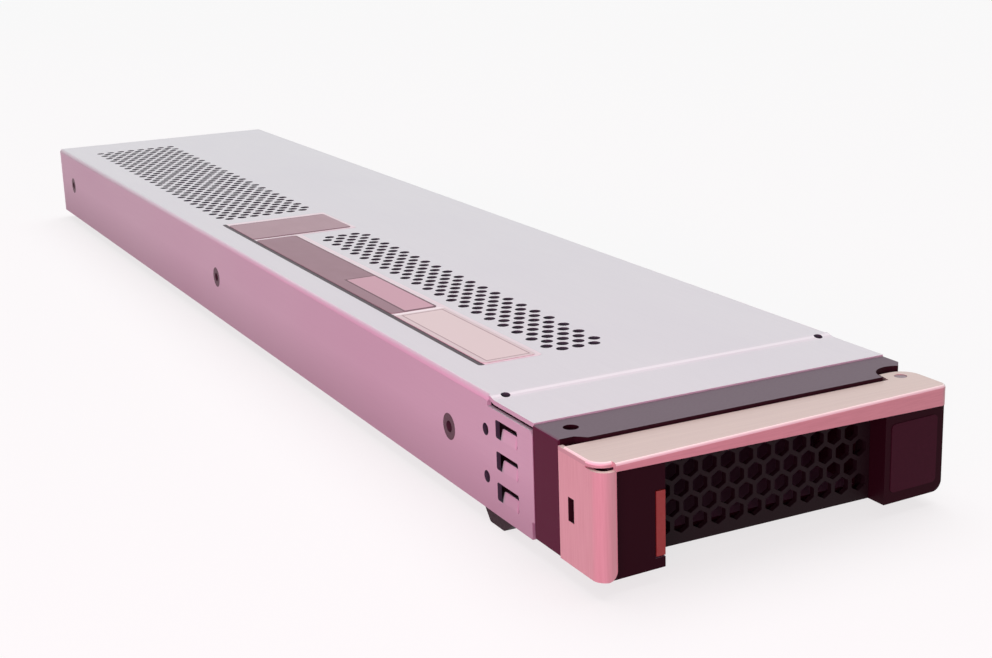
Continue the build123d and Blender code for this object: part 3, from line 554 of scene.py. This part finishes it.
# Latch: the one coloured piece, on its finger tab
latchPlastic = {
    "colour": "#983f37", "tone": "#8c3831", "beyond": ("X", -30.0, "#1d1215"), "roughness": 0.45,
    "grain": (0.8, 0.8, 0.8), "height": 0.02,
}
# Acetal, moulded in two shots: an even orange-red finger tab, slightly waxy, on a black bar
dress(grainedMaterial("acetal_mouldedOrangeRed", latchPlastic), "release_latch")

# Small metal pieces
screwSteel = {
    "colour": "#5c4751", "tone": "#4f3c45", "metallic": 0.15, "roughness": 0.5, "specular": 0.2,
    "grain": (0.5, 0.5, 0.5),
}
pinSteel = {
    "colour": "#84727a", "tone": "#74636a", "metallic": 0.3, "roughness": 0.36, "grain": (0.3, 0.3, 2.0),
}
springSteel = {
    "colour": "#a7a5a8", "tone": "#918f94", "metallic": 0.8, "roughness": 0.35, "grain": (3.0, 0.3, 0.3),
}
brass = {
    "colour": "#b99b58", "tone": "#a88a4a", "metallic": 0.9, "roughness": 0.35, "grain": (0.3, 0.3, 2.0),
}
# Zinc-plated steel, tumbled: the screws are dull, dark and slightly uneven
dress(grainedMaterial("zincPlatedSteel_tumbled", screwSteel),
      "cover_screws", "carrier_screws", "board_screws", "memory_screws")
# Steel, turned: a grey pin with faint lines along its length
dress(grainedMaterial("steel_turned", pinSteel), "pivot_pin")
# Brass, turned from hexagon bar: bright yellow standoffs with faint lines up their sides
dress(grainedMaterial("brass_turned", brass), "board_standoffs", "memory_spacers")

# Latch spring: a folded leaf that the latch presses together
spring = {"leaf": 0.25, "turns": 4, "travel": 1.8, "runPoints": 4, "bowPoints": 9}


def makeSpring():
    # A strip carried along a serpentine in X and Z: upright runs a step apart, joined by half circles of half
    # a step that lie above and below in turn
    low, high = (np.array(corner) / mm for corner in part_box("latch_spring"))
    half = spring["leaf"] / 2
    runs = np.linspace(low[0] + half, high[0] - half, spring["turns"] + 1)
    radius = (runs[1] - runs[0]) / 2
    ends = low[2] + half + radius, high[2] - half - radius
    turn = np.linspace(math.pi, 0, spring["bowPoints"])[1:-1]
    path = []
    for number, x in enumerate(runs):
        start, end = ends if number % 2 == 0 else ends[::-1]
        path.append(np.c_[np.full(spring["runPoints"], x), np.linspace(start, end, spring["runPoints"])])
        bow = np.c_[x + radius + radius * np.cos(turn), end + np.sign(end - start) * radius * np.sin(turn)]
        path.append(bow if number < spring["turns"] else bow[:0])
    path = np.vstack(path)
    points = np.vstack([np.c_[path[:, :1], np.full(len(path), y), path[:, 1:]] for y in (low[1], high[1])])
    # Spring steel strip, rolled: bright with lines along the leaf
    steel = grainedMaterial("springSteel_rolled", springSteel)
    leaf = makePiece(
        "foldedSpring", [(points, squareTriangles(2, len(path)), True)], "case", steel,
    )
    thicken(leaf, spring["leaf"], 0)
    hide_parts("latch_spring")
    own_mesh(leaf)


makeSpring()

# Gasket: conductive strip under the pan
gasketRubber = {
    "colour": "#2c2427", "tone": "#1d181a", "roughness": 0.75, "specular": 0.3, "grain": (0.7, 0.7, 0.7),
    "height": 0.08,
}
# Silicone filled with graphite, extruded: dull, near black and slightly pitted
dress(grainedMaterial("filledSilicone_extruded", gasketRubber), "bottom_gasket")

# Boards and what stands on them
laminate = {
    "colour": "#1d5a3c", "tone": "#174a31", "roughness": 0.38, "grain": (1.2, 6.0, 1.2), "spread": 0.05,
}
linkPlastic = {"colour": "#26262a", "tone": "#1e1e22", "roughness": 0.5, "grain": (0.6, 0.6, 0.6)}
chipPlastic = {"colour": "#1b1b1e", "tone": "#242428", "roughness": 0.55, "grain": (0.5, 0.5, 0.5)}
sinkAluminium = {
    "colour": "#b9bcc1", "tone": "#a6a9ae", "metallic": 0.85, "roughness": 0.38, "grain": (0.4, 12.0, 0.4),
}
ferrite = {
    "colour": "#3a3a3d", "tone": "#2e2e31", "roughness": 0.7, "grain": (0.4, 0.4, 0.4), "height": 0.03,
}
canAluminium = {
    "colour": "#c4c5c8", "tone": "#b2b3b7", "metallic": 0.85, "roughness": 0.33, "grain": (0.3, 0.3, 4.0),
}
connectorPlastic = {"colour": "#212124", "tone": "#2a2a2d", "roughness": 0.48, "grain": (0.7, 0.7, 0.7)}
# Glass-epoxy laminate under green solder mask: satin, with faint darker runs where copper lies under it
dress(grainedMaterial("glassEpoxy_solderMask", laminate), "main_board", "memory_board")
# Liquid-crystal polymer, moulded: near black and satin
dress(grainedMaterial("polymer_mouldedLink", linkPlastic), "board_links")
# Epoxy moulding compound: matt black with a fine grit
dress(grainedMaterial("epoxyCompound_moulded", chipPlastic),
      "memory_chips", "flash_chips", "controller_chips")
# Aluminium, extruded: lines along the fins
dress(grainedMaterial("aluminium_extruded", sinkAluminium), "heat_sinks")
# Ferrite powder, pressed: dark grey and grainy
dress(grainedMaterial("ferrite_pressed", ferrite), "power_coils")
# Aluminium can, drawn: lines up its side
dress(grainedMaterial("aluminium_drawn", canAluminium), "capacitors")
# Glass-filled nylon, moulded: dark grey, faintly mottled by the glass
dress(grainedMaterial("glassFilledNylon_moulded", connectorPlastic), "rear_connector")

# Stickers: bare fields of colour, no print. A field is left, right, front, rear in mm from the sticker's
# left front corner, and its colour; a later field lies over an earlier one
stickers = {
    "label_front": {"ground": "#d9cdcd", "cloud": "#d2c4c5", "fields": (
        (0.0, 12.5, 45.3, 46.5, "#f4eeef"),
        (1.3, 11.7, 1.1, 44.6, "#a58d91"), (1.6, 11.4, 1.5, 44.2, "#dccecd"))},
    "label_middle": {"ground": "#8a6c76", "cloud": "#957882", "fields": (
        (3.3, 11.8, 0.0, 37.4, "#5f404b"), (3.8, 11.3, 0.7, 36.8, "#c59daa"),
        (11.3, 11.8, 37.4, 95.6, "#6f525c"))},
    "label_rear": {"ground": "#a0868e", "cloud": "#ab9199", "fields": (
        (0.0, 29.6, 0.0, 0.6, "#7c6069"), (0.0, 29.6, 22.0, 22.6, "#7c6069"))},
}
stickerFilm = {"roughness": 0.48, "specular": 0.2, "grain": (4.0, 9.0, 4.0)}


def makeSticker(node, look):
    # Polyester film, printed on the back: even fields of ink, satin, with a very faint cloud in the ground
    material, tree, shader, place = startMaterial(
        "polyesterFilm_" + node, {"colour": look["ground"], **stickerFilm},
    )
    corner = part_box(node)[0]
    spot = addNode(tree, "ShaderNodeSeparateXYZ", links={"Vector": (place, "Object")})
    layers = [(grainOn(tree, place, stickerFilm["grain"]), "Fac", look["cloud"])]
    for left, right, front, rear, colour in look["fields"]:
        # Compare is 1 within its reach of a value: the field's middle and half side on each axis
        across = addNode(
            tree, "ShaderNodeMath", operation="COMPARE", links={0: (spot, "X")},
            values={1: corner.x + (left + right) / 2 * mm, 2: (right - left) / 2 * mm},
        )
        along = addNode(
            tree, "ShaderNodeMath", operation="COMPARE", links={0: (spot, "Y")},
            values={1: corner.y + (front + rear) / 2 * mm, 2: (rear - front) / 2 * mm},
        )
        within = addNode(tree, "ShaderNodeMath", operation="MULTIPLY", links={0: (across, 0), 1: (along, 0)})
        layers.append((within, 0, colour))
    painted = layColours(tree, look["ground"], layers)
    tree.links.new(painted.outputs["Result"], shader.inputs["Base Color"])
    return material


# Film under the stickers: shows as a pale margin at their right and rear, and as a dark line at their left
backing = {
    "thickness": 0.06, "left": 1.1, "right": 1.2, "rear": 3.0, "front": 0.6, "round": 0.8, "roundSteps": 5,
    "colour": "#e9dfe3", "cloud": "#e2d6db", "grain": (4.0, 9.0, 4.0), "roughness": 0.5, "specular": 0.2,
    "line": "#3b343a", "lineOver": 0.1,
}


def makeBacking():
    # An L round the three stickers, drawn in plan with its six corners rounded:
    # corner + radius * (way back * (1 - sin t) + way on * (1 - cos t)), t over a quarter turn
    boxes = {node: np.array(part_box(node)) / mm for node in stickers}
    wide, near = boxes["label_rear"], boxes["label_front"]
    top, outerLeft = wide[0, 2], wide[0, 0] - backing["left"]
    outerRight, outerRear = wide[1, 0] + backing["right"], wide[1, 1] + backing["rear"]
    innerRight = max(near[1, 0], boxes["label_middle"][1, 0]) + backing["right"]
    outerFront, innerFront = near[0, 1] - backing["front"], wide[0, 1] - backing["right"]
    corners = np.array([
        [outerLeft, outerFront], [innerRight, outerFront], [innerRight, innerFront],
        [outerRight, innerFront], [outerRight, outerRear], [outerLeft, outerRear],
    ])
    back, on = np.roll(corners, 1, 0) - corners, np.roll(corners, -1, 0) - corners
    back, on = (way / np.linalg.norm(way, axis=1)[:, None] for way in (back, on))
    t = np.linspace(0, math.pi / 2, backing["roundSteps"])[None, :, None]
    bows = back[:, None] * (1 - np.sin(t)) + on[:, None] * (1 - np.cos(t))
    outline = (corners[:, None] + backing["round"] * bows).reshape(-1, 2)
    plan, triangles = cutSheet([outline], [], np.empty((0, 5)))
    points = np.c_[plan, np.full(len(plan), top + backing["thickness"])]
    # Polyester film, coated: pale and satin, with a dark line along its left edge
    material, tree, shader, place = startMaterial("polyesterFilm_coated", backing)
    spot = addNode(tree, "ShaderNodeSeparateXYZ", links={"Vector": (place, "Object")})
    onLine = whereAll(tree, [(spot, "X", "LESS_THAN", (wide[0, 0] + backing["lineOver"]) * mm)])
    lined = layColours(tree, backing["colour"], [
        (grainOn(tree, place, backing["grain"]), "Fac", backing["cloud"]), (onLine, 0, backing["line"]),
    ])
    tree.links.new(lined.outputs["Result"], shader.inputs["Base Color"])
    triangles = faceOut(points, triangles, np.array([0, 0, 1]))
    film = makePiece("labelBacking", [(points, triangles, False)], "case", material)
    thicken(film, backing["thickness"], -1)


makeBacking()
for stickerNode, stickerLook in stickers.items():
    dress(makeSticker(stickerNode, stickerLook), stickerNode)

# Bare plate on the right block
frontPlate = {
    "colour": "#3c1b29", "tone": "#43202f", "roughness": 0.36, "specular": 0.05, "grain": (0.8, 0.8, 0.8),
    "spread": 0.04,
}
# Polyester film, printed dark: a little glossier than the moulding round it
dress(grainedMaterial("polyesterFilm_darkPlate", frontPlate), "front_label")
print("materials set on", len(nodes), "nodes")

# Camera at the photograph's place; the model's frame in millimetres
view = {
    "place": (-172.55, -434.36, 122.64), "azimuth": -26.411, "elevation": 15.428, "roll": -1.946,
    "lens": 59.187, "sensor": 36.0, "nearest": 10.0,
}
camera = bpy.data.objects.new("photoCamera", bpy.data.cameras.new("photoCamera"))
bpy.context.scene.collection.objects.link(camera)
camera.matrix_world = (
    Matrix.Translation(Vector(view["place"]) * mm)
    @ Matrix.Rotation(math.radians(view["azimuth"]), 4, "Z")
    @ Matrix.Rotation(math.radians(90 - view["elevation"]), 4, "X")
    @ Matrix.Rotation(math.radians(view["roll"]), 4, "Z")
)
camera.data.lens = view["lens"]
camera.data.sensor_width = view["sensor"]
camera.data.clip_start = view["nearest"] * mm
bpy.context.scene.camera = camera

# Studio, in metres: a pale floor, an even soft light from above, and two rosy softboxes on the left and in
# front, since the photograph's upright faces are lit rosy and its top is not
studio = {
    "floorHalf": 6.0, "surround": 0.24, "white": "#ffffff",
    "overhead": {"strength": 1.98, "angle": 60.0, "tilt": (16.0, 14.0)},
    "rose": "#ff86ba", "spread": 110.0,
}
floorBoard = {"colour": "#f6f5f6", "toObject": "#5e565a", "glow": 0.75, "roughness": 0.9, "specular": 0.0}
softboxes = {
    "sideSoftbox": {
        "place": (-0.8, 0.28, 0.16), "aim": (0.0, 0.15, 0.0), "size": (1.5, 0.28), "watts": 1.45,
    },
    "frontSoftbox": {
        "place": (-0.36, -0.62, 0.13), "aim": (0.0, -0.2, 0.01), "size": (0.5, 0.22), "watts": 0.94,
    },
}


def seenRay(tree, path):
    # 1 for what the camera sees, straight, mirrored or through glass, and 0 for light on the object
    seen = addNode(
        tree, "ShaderNodeMath", operation="MAXIMUM",
        links={0: (path, "Is Camera Ray"), 1: (path, "Is Glossy Ray")},
    )
    return addNode(
        tree, "ShaderNodeMath", operation="MAXIMUM", links={0: (seen, 0), 1: (path, "Is Transmission Ray")},
    )


def makeStudio():
    # Floor, white surround, overhead light and softboxes
    half = studio["floorHalf"]
    corners = [(-half, -half, 0), (half, -half, 0), (half, half, 0), (-half, half, 0)]
    mesh = bpy.data.meshes.new("studioFloor")
    mesh.from_pydata(corners, [], [(0, 1, 2, 3)])
    floor = bpy.data.objects.new("studioFloor", mesh)
    bpy.context.scene.collection.objects.link(floor)
    # Painted board, rolled: pale and matt to the eye, and dimmer in what it throws back at the object
    material, tree, shader, _ = startMaterial("paintedBoard_rolled", floorBoard)
    path = addNode(tree, "ShaderNodeLightPath")
    painted = layColours(tree, floorBoard["colour"], [(path, "Is Diffuse Ray", floorBoard["toObject"])])
    tree.links.new(painted.outputs["Result"], shader.inputs["Base Color"])
    share = addNode(
        tree, "ShaderNodeMath", operation="MULTIPLY", links={0: (seenRay(tree, path), 0)},
        values={1: floorBoard["glow"]},
    )
    white = addNode(tree, "ShaderNodeEmission", values={"Color": toLinear(studio["white"]), "Strength": 1.0})
    paler = addNode(
        tree, "ShaderNodeMixShader", links={0: (share, 0), 1: (shader, "BSDF"), 2: (white, "Emission")},
    )
    tree.links.new(paler.outputs["Shader"], tree.nodes["Material Output"].inputs["Surface"])
    mesh.materials.append(material)

    world = bpy.data.worlds.new("studioSurround")
    bpy.context.scene.world = world
    world.use_nodes = True
    tree = world.node_tree
    path = addNode(tree, "ShaderNodeLightPath")
    level = addNode(
        tree, "ShaderNodeMapRange", links={"Value": (seenRay(tree, path), 0)},
        values={"To Min": studio["surround"], "To Max": 1.0},
    )
    tree.links.new(level.outputs["Result"], tree.nodes["Background"].inputs["Strength"])
    tree.nodes["Background"].inputs["Color"].default_value = toLinear(studio["white"])

    sun = bpy.data.lights.new("overheadLight", "SUN")
    sun.energy = studio["overhead"]["strength"]
    sun.angle = math.radians(studio["overhead"]["angle"])
    overhead = bpy.data.objects.new("overheadLight", sun)
    tiltX, tiltY = (math.radians(angle) for angle in studio["overhead"]["tilt"])
    overhead.rotation_euler = (-tiltX, tiltY, 0)
    bpy.context.scene.collection.objects.link(overhead)

    for name, box in softboxes.items():
        lamp = bpy.data.lights.new(name, "AREA")
        lamp.shape = "RECTANGLE"
        lamp.size, lamp.size_y = box["size"]
        lamp.energy = box["watts"]
        lamp.spread = math.radians(studio["spread"])
        lamp.color = toLinear(studio["rose"])[:3]
        softbox = bpy.data.objects.new(name, lamp)
        softbox.location = box["place"]
        way = Vector(box["aim"]) - Vector(box["place"])
        softbox.rotation_euler = way.to_track_quat("-Z", "Y").to_euler()
        bpy.context.scene.collection.objects.link(softbox)


makeStudio()
bpy.context.scene.view_settings.view_transform = "Standard"
print("studio and camera set")
